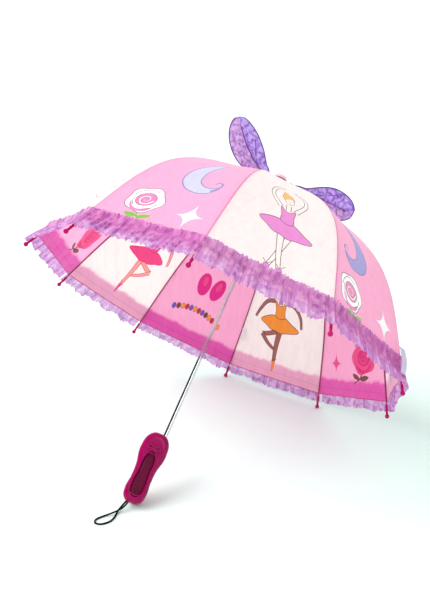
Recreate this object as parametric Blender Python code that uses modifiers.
"""Children's dome umbrella, open and lying on two rib tips and the heel of its slipper handle.

Every part is drawn upright in the umbrella frame: +Z runs along the shaft to the crown, z = 0 is the
level of the rib tips, and +Y is the side that faces the floor. One empty lays the whole thing down.
"""

import math

import bmesh
import bpy
from mathutils import Matrix, Vector

# Driving dimensions, in metres and radians.
RIB_COUNT = 10
RIM_RADIUS = 0.355
DOME_HEIGHT = 0.3126
SHOULDER = (0.256, 0.2252)
KNEE = (0.254, 0.213)
FIRST_RIB_ANGLE = math.radians(216)

RIB_RADIUS = 0.0013
PIVOT_RADIUS = 0.0105
STRETCHER_AT = 0.193
BEND_AT = 0.2065
BEND_GAP = 0.0005
LUG_DROP = 0.004
LUG_THICKNESS = 0.0009
LUG_WIDTH = 0.0024

TIP_BALL_RADIUS = 0.004
TIP_SLEEVE_RADIUS = 0.0025
TIP_SLEEVE_LENGTH = 0.021
TIP_BORE_RADIUS = 0.0017
ROD_END = 0.006

SHAFT_RADIUS = 0.004
SHAFT_BORE = 0.0033
SHAFT_TOP = 0.3235
SHAFT_FIT = 0.00035
SLOT_HALF_WIDTH = 0.0016
CATCH_ANGLE = math.radians(118)
CATCH_REACH = 0.0058
CATCH_HALF_WIDTH = 0.0008
UPPER_CATCH = 0.106
LOWER_CATCH = -0.104
KEYWAY_REACH = 0.0062

CROWN_RADIUS = 0.0126
CROWN_CORE = 0.0086
CROWN_BOTTOM = 0.3035
CROWN_SLOT_TOP = 0.3115
CROWN_TOP = 0.3145
CAP_BOTTOM = 0.3166
CAP_RADIUS = 0.015
CAP_HEIGHT = 0.0090

RUNNER_RADIUS = 0.013
RUNNER_CORE = 0.0078
RUNNER_SLOT_FLOOR = 0.0082
RUNNER_FLANGE = 0.004
RUNNER_COLLAR = 0.009
RUNNER_SLEEVE = 0.038

BLADE_HALF_HEIGHT = 0.0013
BLADE_HALF_WIDTH = 0.0009
FORK_HALF_WIDTH = 0.0015
FORK_SLOT = 0.00075
FORK_DEPTH = 0.006
BLADE_OVERHANG = 0.002

CLOTH_THICKNESS = 0.001
CLOTH_OFFSET = 0.0025
CLOTH_SEAM_GAP = 0.0004
CLOTH_SAG = 0.035
CLOTH_TOP_RADIUS = 0.0142
HEM_FROM_TIP = 0.026

HANDLE_TOE = -0.197
HANDLE_LENGTH = 0.124
HANDLE_ROUNDING = 0.009
HANDLE_DEPTH = 0.031
HANDLE_SHIFT = 0.008
HANDLE_FACING = math.radians(-62)
SHAFT_IN_HANDLE = 0.024

LOOP_RADIUS = 0.0015
LOOP_HOLE = Vector((-0.0096, -0.2561, 0.0143))
LOOP_EXIT = Vector((-0.15, -0.93, -0.33)).normalized()
LOOP_HOLE_RADIUS = 0.0037
LOOP_HOLE_DEPTH = 0.007
# The wrist loop's route on the floor, in the frame of the umbrella as it lies.
LOOP_ROUTE = (
    (-0.0107, -0.2520, 0.0156),
    (-0.0113, -0.2560, 0.0142),
    (-0.0133, -0.2635, 0.0102),
    (-0.0156, -0.2715, 0.0048),
    (-0.0150, -0.2800, 0.0017),
    (-0.0118, -0.2890, 0.0015),
    (-0.0102, -0.3000, 0.0015),
    (-0.0132, -0.3105, 0.0015),
    (-0.0205, -0.3190, 0.0015),
    (-0.0290, -0.3200, 0.0015),
    (-0.0325, -0.3125, 0.0015),
    (-0.0290, -0.3025, 0.0016),
    (-0.0228, -0.2925, 0.0028),
    (-0.0160, -0.2825, 0.0050),
    (-0.0110, -0.2740, 0.0074),
    (-0.0085, -0.2650, 0.0106),
    (-0.0079, -0.2565, 0.0143),
    (-0.0074, -0.2525, 0.0156),
)
LOOP_POINTS = 34

WING_HALF_WIDTH = 0.029
WING_ROOT = 0.004
WING_THICKNESS = 0.0012
HUB_BOTTOM = 0.3148
HUB_TOP = 0.3163
STRAP_SIZE = (0.014, 0.048, 0.0012)

MAGENTA = (0.27, 0.004, 0.075)
PLUM = (0.10, 0.02, 0.06)
PINK = (1.0, 0.40, 0.66)
CREAM = (1.0, 0.90, 0.87)
LILAC = (0.50, 0.27, 0.62)
STEEL = (0.62, 0.62, 0.64)
BLACK = (0.01, 0.01, 0.012)


def clear_scene():
    for obj in list(bpy.data.objects):
        bpy.data.objects.remove(obj, do_unlink=True)


def new_collection(name):
    collection = bpy.data.collections.new(name)
    bpy.context.scene.collection.children.link(collection)
    return collection


def material(name, colour, roughness, metallic=0.0):
    made = bpy.data.materials.new(name)
    made.use_nodes = True
    shader = made.node_tree.nodes["Principled BSDF"]
    shader.inputs["Base Color"].default_value = (*colour, 1.0)
    shader.inputs["Roughness"].default_value = roughness
    shader.inputs["Metallic"].default_value = metallic
    return made


# The shape of a rib, in the plane of the rib: x is the distance from the shaft.


def rib_controls():
    flat = ((0.0, DOME_HEIGHT), SHOULDER, KNEE, (RIM_RADIUS, 0.0))
    return [Vector((x, 0.0, z)) for x, z in flat]


def rib_point(u):
    """A point on a rib's centreline, which runs from the crown at u = 0 to the tip at u = 1."""
    a, b, c, d = rib_controls()
    return (1 - u) ** 3 * a + 3 * u * (1 - u) ** 2 * b + 3 * u * u * (1 - u) * c + u**3 * d


def rib_slope(u):
    a, b, c, d = rib_controls()
    return 3 * ((1 - u) ** 2 * (b - a) + 2 * u * (1 - u) * (c - b) + u * u * (d - c))


def rib_normal(u):
    """The unit vector that points out of the dome."""
    slope = rib_slope(u).normalized()
    return Vector((-slope.z, 0.0, slope.x))


def rib_at_radius(radius):
    """The place u on a rib that is this far from the shaft."""
    low, high = 0.0, 1.0
    for _ in range(40):
        middle = (low + high) / 2
        if rib_point(middle).x < radius:
            low = middle
        else:
            high = middle
    return low


def along(u, distance):
    """The place u moved by a short distance along the rib."""
    return u + distance / rib_slope(u).length


def turned_about_z(angle):
    return Matrix.Rotation(angle, 4, "Z")


def rib_angle(number):
    return FIRST_RIB_ANGLE - (number - 1) * 2 * math.pi / RIB_COUNT


# Pivots, in the plane of a rib.
CROWN_U = rib_at_radius(PIVOT_RADIUS)
CROWN_PIVOT = rib_point(CROWN_U)
STRETCHER_U = rib_at_radius(STRETCHER_AT)
STRETCHER_PIVOT = rib_point(STRETCHER_U) - LUG_DROP * rib_normal(STRETCHER_U)
BEND_U = rib_at_radius(BEND_AT)
BEND_PIVOT = rib_point(BEND_U)
TIP_POINT = rib_point(1.0)

# A stretcher is as long as the stretch of rib above it, so its foot stays in line with the crown pivots.
ARM = STRETCHER_PIVOT - CROWN_PIVOT
OPEN_ANGLE = math.atan2(ARM.x, -ARM.z)
RUNNER_LEVEL = CROWN_PIVOT.z - 2 * ARM.length * math.cos(OPEN_ANGLE)


def add_object(name, data, collection, parent=None, at=None, paint=None):
    obj = bpy.data.objects.new(name, data)
    collection.objects.link(obj)
    obj.parent = parent
    if at is not None:
        obj.matrix_local = at
    if paint is not None and not data.materials:
        data.materials.append(paint)
    return obj


def poly_curve(name, points, radius=0.0, cyclic=False):
    curve = bpy.data.curves.new(name, "CURVE")
    curve.dimensions = "3D"
    curve.bevel_depth = radius
    curve.bevel_resolution = 2
    curve.use_fill_caps = True
    spline = curve.splines.new("POLY")
    spline.points.add(len(points) - 1)
    for target, point in zip(spline.points, points):
        target.co = (*point, 1.0)
    spline.use_cyclic_u = cyclic
    return curve


def plate(name, outline, half_thickness):
    """A flat outline, extruded both ways."""
    curve = poly_curve(name, [(x, y, 0.0) for x, y in outline], cyclic=True)
    curve.dimensions = "2D"
    curve.fill_mode = "BOTH"
    curve.extrude = half_thickness
    return curve


def profile_mesh(name, profile, closed):
    mesh = bpy.data.meshes.new(name)
    edges = [(i, i + 1) for i in range(len(profile) - 1)]
    if closed:
        edges.append((len(profile) - 1, 0))
    mesh.from_pydata([(x, 0.0, z) for x, z in profile], edges, [])
    return mesh


def add_turned(name, profile, steps, collection, closed=False, **placing):
    """A profile of (radius, height), turned round Z."""
    mesh = profile_mesh(name, profile, closed)
    obj = add_object(name, mesh, collection, **placing)
    screw = obj.modifiers.new("turn", "SCREW")
    screw.steps = steps
    screw.render_steps = steps
    screw.use_merge_vertices = True
    screw.merge_threshold = 0.00001
    return obj


def box_mesh(name, low, high):
    mesh = bpy.data.meshes.new(name)
    shape = bmesh.new()
    bmesh.ops.create_cube(shape, size=1.0)
    size = Vector(high) - Vector(low)
    middle = (Vector(high) + Vector(low)) / 2
    bmesh.ops.scale(shape, vec=size, verts=shape.verts)
    bmesh.ops.translate(shape, vec=middle, verts=shape.verts)
    shape.to_mesh(mesh)
    shape.free()
    return mesh


def ring_of_boxes(name, low, high, count):
    """The same box, repeated round the Z axis, in one mesh."""
    mesh = bpy.data.meshes.new(name)
    shape = bmesh.new()
    size = Vector(high) - Vector(low)
    middle = (Vector(high) + Vector(low)) / 2
    for number in range(1, count + 1):
        place = turned_about_z(rib_angle(number)) @ Matrix.Translation(middle)
        bmesh.ops.create_cube(shape, size=1.0, matrix=place @ Matrix.Diagonal((*size, 1.0)))
    shape.to_mesh(mesh)
    shape.free()
    return mesh


def add_cutter(name, mesh, collection, parent, at=None):
    cutter = add_object(name, mesh, collection, parent, at)
    cutter.hide_render = True
    cutter.display_type = "WIRE"
    return cutter


def boolean(obj, other, operation):
    modifier = obj.modifiers.new(operation.lower(), "BOOLEAN")
    modifier.operation = operation
    modifier.object = other
    modifier.solver = "EXACT"


def bake(obj):
    """The object's evaluated mesh, with the caps of a curve welded on."""
    bpy.context.view_layer.update()
    graph = bpy.context.evaluated_depsgraph_get()
    mesh = bpy.data.meshes.new_from_object(obj.evaluated_get(graph), depsgraph=graph)
    shape = bmesh.new()
    shape.from_mesh(mesh)
    bmesh.ops.remove_doubles(shape, verts=shape.verts, dist=0.000001)
    shape.to_mesh(mesh)
    shape.free()
    return mesh


def baked_and_removed(*objects):
    """The mesh of the first object, baked, once the others have served it."""
    mesh = bake(objects[0])
    for obj in objects:
        bpy.data.objects.remove(obj, do_unlink=True)
    return mesh


def smooth(mesh):
    mesh.shade_smooth()
    mesh.set_sharp_from_angle(angle=math.radians(40))


def grid_mesh(name, columns, rows, point):
    """A surface through point(s, t), where s and t run from 0 to 1."""
    mesh = bpy.data.meshes.new(name)
    shape = bmesh.new()
    bmesh.ops.create_grid(shape, x_segments=columns, y_segments=rows, size=0.5)
    for vertex in shape.verts:
        vertex.co = point(vertex.co.x + 0.5, vertex.co.y + 0.5)
    shape.to_mesh(mesh)
    shape.free()
    return mesh


# Ribs: a straight-ish inner stretch, a bent outer stretch and a moulded tip.


def rod_points(start, end, count, origin):
    return [rib_point(start + (end - start) * i / (count - 1)) - origin for i in range(count)]


def inner_rib_mesh(scratch):
    """The rod from the crown to the bend, with the lug that the stretcher is riveted to."""
    points = rod_points(CROWN_U, along(BEND_U, -BEND_GAP), 9, CROWN_PIVOT)
    rod = add_object("rod", poly_curve("rod", points, RIB_RADIUS), scratch)
    rod_mesh = baked_and_removed(rod)
    rod = add_object("rod", rod_mesh, scratch)
    low = (-LUG_WIDTH / 2, -LUG_THICKNESS / 2, -LUG_WIDTH / 2)
    high = (LUG_WIDTH / 2, LUG_THICKNESS / 2, LUG_DROP)
    normal = rib_normal(STRETCHER_U)
    lean = Matrix.Rotation(math.atan2(normal.x, normal.z), 4, "Y")
    place = Matrix.Translation(STRETCHER_PIVOT - CROWN_PIVOT) @ lean
    lug = add_object("lug", box_mesh("lug", low, high), scratch, at=place)
    boolean(rod, lug, "UNION")
    return baked_and_removed(rod, lug)


def add_ribs(parts, scratch, umbrella, paint, tip_paint):
    inner = inner_rib_mesh(scratch)
    inner.name = "rib_inner"
    inner.materials.append(paint)
    rod_end = along(1.0, -ROD_END)
    outer = poly_curve(
        "rib_outer", rod_points(along(BEND_U, BEND_GAP), rod_end, 10, BEND_PIVOT), RIB_RADIUS
    )
    tip = tip_mesh(scratch)
    tip.materials.append(tip_paint)
    tip_slope = rib_slope(1.0).normalized()
    tip_lean = Matrix.Rotation(math.atan2(tip_slope.x, tip_slope.z), 4, "Y")
    for number in range(1, RIB_COUNT + 1):
        turn = turned_about_z(rib_angle(number))
        at = turn @ Matrix.Translation(CROWN_PIVOT)
        add_object(f"rib_inner_{number:02d}", inner, parts, umbrella, at, paint)
        at = turn @ Matrix.Translation(BEND_PIVOT)
        add_object(f"rib_outer_{number:02d}", outer, parts, umbrella, at, paint)
        at = turn @ Matrix.Translation(TIP_POINT) @ tip_lean
        add_object(f"rib_tip_{number:02d}", tip, parts, umbrella, at, tip_paint)


def tip_mesh(scratch):
    """A ball on a bored sleeve that the end of the rod sits in. The ball is at +Z."""
    ball = [
        (TIP_BALL_RADIUS * math.sin(a), TIP_BALL_RADIUS * math.cos(a))
        for a in (math.pi * 0.72 * i / 5 for i in range(6))
    ]
    bore_end = -ROD_END + 0.0006
    profile = ball + [
        (TIP_SLEEVE_RADIUS, -TIP_SLEEVE_LENGTH),
        (TIP_BORE_RADIUS, -TIP_SLEEVE_LENGTH),
        (TIP_BORE_RADIUS, bore_end),
        (0.0, bore_end),
    ]
    tip = add_turned("rib_tip", profile, 12, scratch)
    mesh = baked_and_removed(tip)
    smooth(mesh)
    return mesh


# Stretchers: a flat blade with a fork round the rib's lug.


def add_stretchers(parts, umbrella, paint):
    length = ARM.length
    start, end = -BLADE_OVERHANG, length + BLADE_HALF_HEIGHT
    neck = (FORK_DEPTH + 0.003, FORK_DEPTH + 0.006)
    side = [
        (FORK_DEPTH, FORK_SLOT),
        (start, FORK_SLOT),
        (start, FORK_HALF_WIDTH),
        (neck[0], FORK_HALF_WIDTH),
        (neck[1], BLADE_HALF_WIDTH),
        (end, BLADE_HALF_WIDTH),
    ]
    outline = side + [(x, -y) for x, y in reversed(side)]
    curve = plate("stretcher", outline, BLADE_HALF_HEIGHT)
    down = Vector((-math.sin(OPEN_ANGLE), 0.0, -math.cos(OPEN_ANGLE)))
    across = Vector((0.0, 1.0, 0.0))
    axes = Matrix((down, across, down.cross(across))).transposed().to_4x4()
    for number in range(1, RIB_COUNT + 1):
        at = turned_about_z(rib_angle(number)) @ Matrix.Translation(STRETCHER_PIVOT) @ axes
        add_object(f"stretcher_{number:02d}", curve, parts, umbrella, at, paint)


# The shaft and what slides or sits on it.


def add_shaft(parts, cutters, umbrella, paint):
    bottom = HANDLE_TOE - SHAFT_IN_HANDLE
    profile = [
        (SHAFT_RADIUS, SHAFT_TOP),
        (SHAFT_RADIUS, bottom),
        (SHAFT_BORE, bottom),
        (SHAFT_BORE, SHAFT_TOP),
    ]
    shaft = add_turned("shaft", profile, 20, parts, closed=True, parent=umbrella, paint=paint)
    for name, level in (("upper", UPPER_CATCH), ("lower", LOWER_CATCH)):
        low = (0.001, -CATCH_HALF_WIDTH - 0.0004, level - 0.0055)
        high = (SHAFT_RADIUS + 0.002, CATCH_HALF_WIDTH + 0.0004, level + 0.0025)
        slot = box_mesh(f"{name}_catch_slot", low, high)
        at = turned_about_z(CATCH_ANGLE)
        boolean(shaft, add_cutter(f"{name}_catch_slot", slot, cutters, umbrella, at), "DIFFERENCE")


def add_catches(parts, umbrella, paint):
    """The spring catches: a leaf inside the shaft with a nose that stands out through its slot."""
    outline = [
        (-0.0010, -0.020),
        (-0.0002, -0.020),
        (-0.0002, -0.009),
        (CATCH_REACH, 0.0002),
        (CATCH_REACH, 0.0015),
        (-0.0010, 0.0015),
    ]
    curve = plate("catch", outline, CATCH_HALF_WIDTH)
    for name, level in (("upper_catch", UPPER_CATCH), ("lower_catch", LOWER_CATCH)):
        upright = Matrix.Rotation(math.pi / 2, 4, "X")
        at = turned_about_z(CATCH_ANGLE) @ Matrix.Translation((0.0, 0.0, level)) @ upright
        add_object(name, curve, parts, umbrella, at, paint)


def add_crown(parts, cutters, umbrella, paint):
    bore = SHAFT_RADIUS + SHAFT_FIT
    profile = [
        (CROWN_RADIUS, CROWN_TOP),
        (CROWN_RADIUS, CROWN_BOTTOM),
        (bore, CROWN_BOTTOM),
        (bore, CROWN_TOP),
    ]
    crown = add_turned("crown_notch", profile, 40, parts, closed=True, parent=umbrella, paint=paint)
    low = (CROWN_CORE, -SLOT_HALF_WIDTH, CROWN_BOTTOM - 0.001)
    high = (CROWN_RADIUS + 0.002, SLOT_HALF_WIDTH, CROWN_SLOT_TOP)
    slots = ring_of_boxes("crown_slots", low, high, RIB_COUNT)
    boolean(crown, add_cutter("crown_slots", slots, cutters, umbrella), "DIFFERENCE")


def add_runner(parts, cutters, umbrella, paint):
    """The sliding hub. Its slots run right through, because the stretchers' feet swing past it."""
    bore = SHAFT_RADIUS + SHAFT_FIT
    profile = [
        (RUNNER_CORE, RUNNER_COLLAR),
        (RUNNER_CORE, RUNNER_FLANGE),
        (RUNNER_RADIUS, RUNNER_FLANGE),
        (RUNNER_RADIUS, -RUNNER_FLANGE),
        (RUNNER_CORE, -RUNNER_FLANGE),
        (RUNNER_CORE, -RUNNER_SLEEVE),
        (bore, -RUNNER_SLEEVE),
        (bore, RUNNER_COLLAR),
    ]
    at = Matrix.Translation((0.0, 0.0, RUNNER_LEVEL))
    runner = add_turned(
        "runner", profile, 40, parts, closed=True, parent=umbrella, at=at, paint=paint
    )
    low = (RUNNER_SLOT_FLOOR, -SLOT_HALF_WIDTH, -RUNNER_FLANGE - 0.001)
    high = (RUNNER_RADIUS + 0.002, SLOT_HALF_WIDTH, RUNNER_FLANGE + 0.001)
    slots = ring_of_boxes("runner_slots", low, high, RIB_COUNT)
    boolean(runner, add_cutter("runner_slots", slots, cutters, umbrella, at), "DIFFERENCE")
    low = (0.002, -CATCH_HALF_WIDTH - 0.0006, -RUNNER_SLEEVE - 0.001)
    high = (KEYWAY_REACH, CATCH_HALF_WIDTH + 0.0006, RUNNER_COLLAR + 0.001)
    keyway = box_mesh("runner_keyway", low, high)
    at = at @ turned_about_z(CATCH_ANGLE)
    boolean(runner, add_cutter("runner_keyway", keyway, cutters, umbrella, at), "DIFFERENCE")


def add_cap(parts, umbrella, paint):
    """The domed cap that clamps the cloth and the wings on the crown."""
    bore = SHAFT_RADIUS + SHAFT_FIT
    dome = [
        (CAP_RADIUS * math.sin(a), CAP_BOTTOM + 0.0015 + CAP_HEIGHT * math.cos(a))
        for a in (math.pi / 2 * i / 6 for i in range(7))
    ]
    profile = dome + [
        (CAP_RADIUS, CAP_BOTTOM),
        (bore, CAP_BOTTOM),
        (bore, SHAFT_TOP + 0.0006),
        (0.0, SHAFT_TOP + 0.0006),
    ]
    cap = add_turned("crown_cap", profile, 24, parts, parent=umbrella, paint=paint)
    smooth(cap.data)


# Cloth.


def gore_point(across, down):
    """A point of a gore that is centred on +X: across and down run from 0 to 1."""
    top = rib_at_radius(CLOTH_TOP_RADIUS)
    u = top + (along(1.0, -HEM_FROM_TIP) - top) * down
    edge = rib_point(u) + CLOTH_OFFSET * rib_normal(u)
    half = math.pi / RIB_COUNT
    side = 2 * across - 1
    sag = CLOTH_SAG * edge.x * math.sin(half) * (1 - side * side)
    middle = Vector((edge.x * math.cos(half), 0.0, edge.z)) - sag * rib_normal(u)
    return middle + Vector((0.0, side * (edge.x * math.sin(half) - CLOTH_SEAM_GAP), 0.0))


def add_gores(parts, scratch, umbrella, pink, cream):
    surface = add_object("gore", grid_mesh("gore", 6, 12, gore_point), scratch)
    solidify = surface.modifiers.new("thickness", "SOLIDIFY")
    solidify.thickness = CLOTH_THICKNESS
    solidify.offset = 0.0
    mesh = baked_and_removed(surface)
    smooth(mesh)
    for number in range(1, RIB_COUNT + 1):
        at = turned_about_z(rib_angle(number) - math.pi / RIB_COUNT)
        paint = pink if number % 2 else cream
        gore = add_object(f"canopy_gore_{number:02d}", mesh.copy(), parts, umbrella, at, paint)
        gore.data.name = gore.name


def wing_point(middle_line, stem, across, out):
    """A point of a leaf-shaped wing whose middle line is a quadratic curve of (radius, height).

    The root lies flat under the cap. The wire then turns into the plane of the shaft, and the blade widens
    from the share of its length that the stem takes."""
    root, bend, tip = (Vector((x, 0.0, z)) for x, z in middle_line)
    middle = (1 - out) ** 2 * root + 2 * out * (1 - out) * bend + out * out * tip
    slope = ((1 - out) * (bend - root) + out * (tip - bend)).normalized()
    spread = math.sin(math.pi / 2 * min(max((out - stem) / (0.68 - stem), 0.0), 1.0))
    half = WING_ROOT + (WING_HALF_WIDTH - WING_ROOT) * spread**1.2
    if out > 0.7:
        half *= math.sqrt(1 - ((out - 0.7) / 0.31) ** 2)
    turned = min(max((out - 0.075) / 0.2, 0.0), 1.0)
    twist = math.pi / 2 * turned * turned * (3 - 2 * turned)
    side = Vector((-slope.z * math.sin(twist), math.cos(twist), slope.x * math.sin(twist)))
    return middle + (2 * across - 1) * half * side


def add_wings(parts, scratch, umbrella, paint):
    """Two wired wings on one hub, which the cap holds down."""
    bore = SHAFT_RADIUS + SHAFT_FIT
    profile = [(0.012, HUB_TOP), (0.012, HUB_BOTTOM), (bore, HUB_BOTTOM), (bore, HUB_TOP)]
    hub = add_turned("fairy_wings", profile, 24, scratch, closed=True)
    level = (HUB_BOTTOM + HUB_TOP) / 2
    wings = (
        (math.radians(-152), 0.08, ((0.009, level), (0.060, 0.312), (0.117, 0.401))),
        (math.radians(28), 0.28, ((0.009, level), (0.085, 0.3175), (0.149, 0.310))),
    )
    used = [hub]
    for angle, stem, line in wings:
        surface = grid_mesh(
            "wing", 4, 20, lambda s, t, stem=stem, line=line: wing_point(line, stem, s, t)
        )
        wing = add_object("wing", surface, scratch, at=turned_about_z(angle))
        solidify = wing.modifiers.new("thickness", "SOLIDIFY")
        solidify.thickness = WING_THICKNESS
        solidify.offset = 0.0
        boolean(hub, wing, "UNION")
        used.append(wing)
    mesh = baked_and_removed(*used)
    add_object("fairy_wings", mesh, parts, umbrella, paint=paint)


def add_closure_strap(parts, umbrella, paint):
    """The tab that holds the folded canopy, sewn on the outside of the hem beside rib 7."""
    u = along(1.0, -HEM_FROM_TIP - STRAP_SIZE[1] / 2)
    half = math.pi / RIB_COUNT
    edge = rib_point(u) + CLOTH_OFFSET * rib_normal(u)
    across = 0.93 * edge.x * math.sin(half) - 0.008
    centre = Vector((edge.x * math.cos(half), across, edge.z))
    normal = rib_normal(u)
    down = rib_slope(u).normalized()
    axes = Matrix((normal.cross(down), down, normal)).transposed().to_4x4()
    place = Matrix.Translation(centre + 0.0022 * normal) @ axes
    half_size = [side / 2 for side in STRAP_SIZE]
    strap = box_mesh("closure_strap", [-h for h in half_size], half_size)
    at = turned_about_z(rib_angle(7) - half) @ place
    add_object("closure_strap", strap, parts, umbrella, at, paint)


# The handle: a ballet slipper with a hollow for the foot.


def slipper_outline(points, inset):
    """A smooth closed outline through (half width, distance from the toe), taken in by inset."""
    right = [(x - inset if x else 0.0, y) for x, y in points]
    left = [(-x, y) for x, y in reversed(right) if x]
    return [(x, -y) for x, y in right + left]


def rounded_plate(name, outline, half_thickness, rounding):
    curve = bpy.data.curves.new(name, "CURVE")
    curve.dimensions = "2D"
    curve.fill_mode = "BOTH"
    curve.resolution_u = 5
    curve.extrude = half_thickness - rounding
    curve.bevel_depth = rounding
    curve.bevel_resolution = 2
    spline = curve.splines.new("BEZIER")
    spline.bezier_points.add(len(outline) - 1)
    for target, (x, y) in zip(spline.bezier_points, outline):
        target.co = (x, y, 0.0)
        target.handle_left_type = "AUTO"
        target.handle_right_type = "AUTO"
    spline.use_cyclic_u = True
    return curve


def handle_axes():
    """The handle's own axes in the umbrella frame: x across, y along the shaft, z out of the opening."""
    facing = Vector((math.cos(HANDLE_FACING), math.sin(HANDLE_FACING), 0.0))
    shaft = Vector((0.0, 0.0, 1.0))
    across = shaft.cross(facing)
    place = Matrix.Translation(HANDLE_SHIFT * -across + HANDLE_TOE * shaft)
    return place @ Matrix((across, shaft, facing)).transposed().to_4x4()


def add_handle(parts, cutters, scratch, umbrella, paint):
    rim = HANDLE_ROUNDING
    body = [
        (0.0, rim),
        (0.0170, 0.0105),
        (0.0235, 0.030),
        (0.0185, 0.062),
        (0.0180, 0.085),
        (0.0195, 0.104),
        (0.0160, 0.1145),
        (0.0, HANDLE_LENGTH - rim),
    ]
    curve = rounded_plate("handle", slipper_outline(body, rim), HANDLE_DEPTH / 2, rim)
    mesh = baked_and_removed(add_object("handle", curve, scratch))
    smooth(mesh)
    handle = add_object("slipper_handle", mesh, parts, umbrella, handle_axes(), paint)
    hollow = (
        (0.0, 0.036),
        (0.0080, 0.043),
        (0.0095, 0.070),
        (0.0110, 0.095),
        (0.0085, 0.106),
        (0.0, 0.110),
    )
    curve = rounded_plate("hollow", slipper_outline(hollow, 0.0), 0.012, 0.0)
    mesh = baked_and_removed(add_object("hollow", curve, scratch))
    at = handle_axes() @ Matrix.Translation((0.0, 0.0, 0.0055))
    boolean(handle, add_cutter("handle_hollow", mesh, cutters, umbrella, at), "DIFFERENCE")
    bore = SHAFT_RADIUS + SHAFT_FIT
    low, high = HANDLE_TOE - SHAFT_IN_HANDLE - 0.0006, HANDLE_TOE + 0.01
    profile = [(0.0, high), (bore, high), (bore, low), (0.0, low)]
    socket = add_turned("shaft_socket", profile, 20, cutters, parent=umbrella)
    socket.hide_render = True
    socket.display_type = "WIRE"
    boolean(handle, socket, "DIFFERENCE")


def smooth_route(points, count):
    """Evenly placed points on the Catmull-Rom curve through a route."""
    fine = []
    ends = [2 * points[0] - points[1], *points, 2 * points[-1] - points[-2]]
    for a, b, c, d in zip(ends, ends[1:], ends[2:], ends[3:]):
        for step in range(20):
            t = step / 20
            cubic = (-a + 3 * b - 3 * c + d) * t**3 + (2 * a - 5 * b + 4 * c - d) * t * t
            fine.append((cubic + (c - a) * t + 2 * b) / 2)
    fine.append(points[-1])
    steps = [0.0]
    for a, b in zip(fine, fine[1:]):
        steps.append(steps[-1] + (b - a).length)
    route, place = [], 0
    for number in range(count):
        wanted = steps[-1] * number / (count - 1)
        while place < len(fine) - 2 and steps[place + 1] < wanted:
            place += 1
        share = (wanted - steps[place]) / (steps[place + 1] - steps[place])
        route.append(fine[place].lerp(fine[place + 1], share))
    return route


def add_wrist_loop(parts, cutters, paint):
    """The loop's two ends go side by side into one hole in the heel of the handle."""
    hole = bpy.data.meshes.new("loop_hole")
    shape = bmesh.new()
    bmesh.ops.create_cone(
        shape,
        cap_ends=True,
        segments=16,
        radius1=LOOP_HOLE_RADIUS,
        radius2=LOOP_HOLE_RADIUS,
        depth=2 * LOOP_HOLE_DEPTH,
    )
    shape.to_mesh(hole)
    shape.free()
    at = Matrix.Translation(LOOP_HOLE) @ LOOP_EXIT.to_track_quat("Z", "Y").to_matrix().to_4x4()
    cutter = add_cutter("loop_hole", hole, cutters, None, at)
    boolean(bpy.data.objects["slipper_handle"], cutter, "DIFFERENCE")
    route = smooth_route([Vector(point) for point in LOOP_ROUTE], LOOP_POINTS)
    add_object("wrist_loop", poly_curve("wrist_loop", route, LOOP_RADIUS), parts, paint=paint)


def lowest(names):
    """The lowest height that these objects reach."""
    bpy.context.view_layer.update()
    graph = bpy.context.evaluated_depsgraph_get()
    heights = []
    for name in names:
        evaluated = bpy.data.objects[name].evaluated_get(graph)
        mesh = evaluated.to_mesh()
        heights += [(evaluated.matrix_world @ vertex.co).z for vertex in mesh.vertices]
        evaluated.to_mesh_clear()
    return min(heights)


def lay_down(umbrella):
    """Tilts the umbrella until two rib tips and the handle reach equally low, and sets it on z = 0."""
    steep, shallow = math.radians(60), math.radians(35)
    for _ in range(24):
        tilt = (steep + shallow) / 2
        umbrella.rotation_euler = (tilt - math.pi / 2, 0.0, 0.0)
        if lowest(["slipper_handle"]) < lowest(["rib_tip_04"]):
            steep = tilt
        else:
            shallow = tilt
    umbrella.location.z -= lowest(["rib_tip_04", "rib_tip_05", "slipper_handle"])


def centre_on_y(umbrella, parts):
    """Moves the umbrella so that its parts reach equally far to both sides of y = 0."""
    bpy.context.view_layer.update()
    graph = bpy.context.evaluated_depsgraph_get()
    reach = []
    for obj in parts.objects:
        evaluated = obj.evaluated_get(graph)
        mesh = evaluated.to_mesh()
        reach += [(evaluated.matrix_world @ vertex.co).y for vertex in mesh.vertices]
        evaluated.to_mesh_clear()
    umbrella.location.y -= (min(reach) + max(reach)) / 2


def build():
    clear_scene()
    parts = new_collection("childrens_umbrella")
    cutters = new_collection("cutters")
    scratch = new_collection("scratch")
    umbrella = bpy.data.objects.new("umbrella_frame", None)
    bpy.context.scene.collection.objects.link(umbrella)

    magenta = material("magenta_plastic", MAGENTA, 0.25)
    plum = material("plum_coated_rod", PLUM, 0.4, 0.6)
    pink = material("pink_cloth", PINK, 0.7)
    cream = material("cream_cloth", CREAM, 0.7)
    lilac = material("lilac_organza", LILAC, 0.6)
    chrome = material("polished_steel", STEEL, 0.2, 1.0)
    black = material("black_cord", BLACK, 0.6)

    add_shaft(parts, cutters, umbrella, chrome)
    add_catches(parts, umbrella, chrome)
    add_crown(parts, cutters, umbrella, magenta)
    add_runner(parts, cutters, umbrella, magenta)
    add_cap(parts, umbrella, magenta)
    add_ribs(parts, scratch, umbrella, plum, magenta)
    add_stretchers(parts, umbrella, chrome)
    add_gores(parts, scratch, umbrella, pink, cream)
    add_wings(parts, scratch, umbrella, lilac)
    add_closure_strap(parts, umbrella, lilac)
    add_handle(parts, cutters, scratch, umbrella, magenta)

    lay_down(umbrella)
    centre_on_y(umbrella, parts)
    add_wrist_loop(parts, cutters, black)
    bpy.data.collections.remove(scratch)


build()
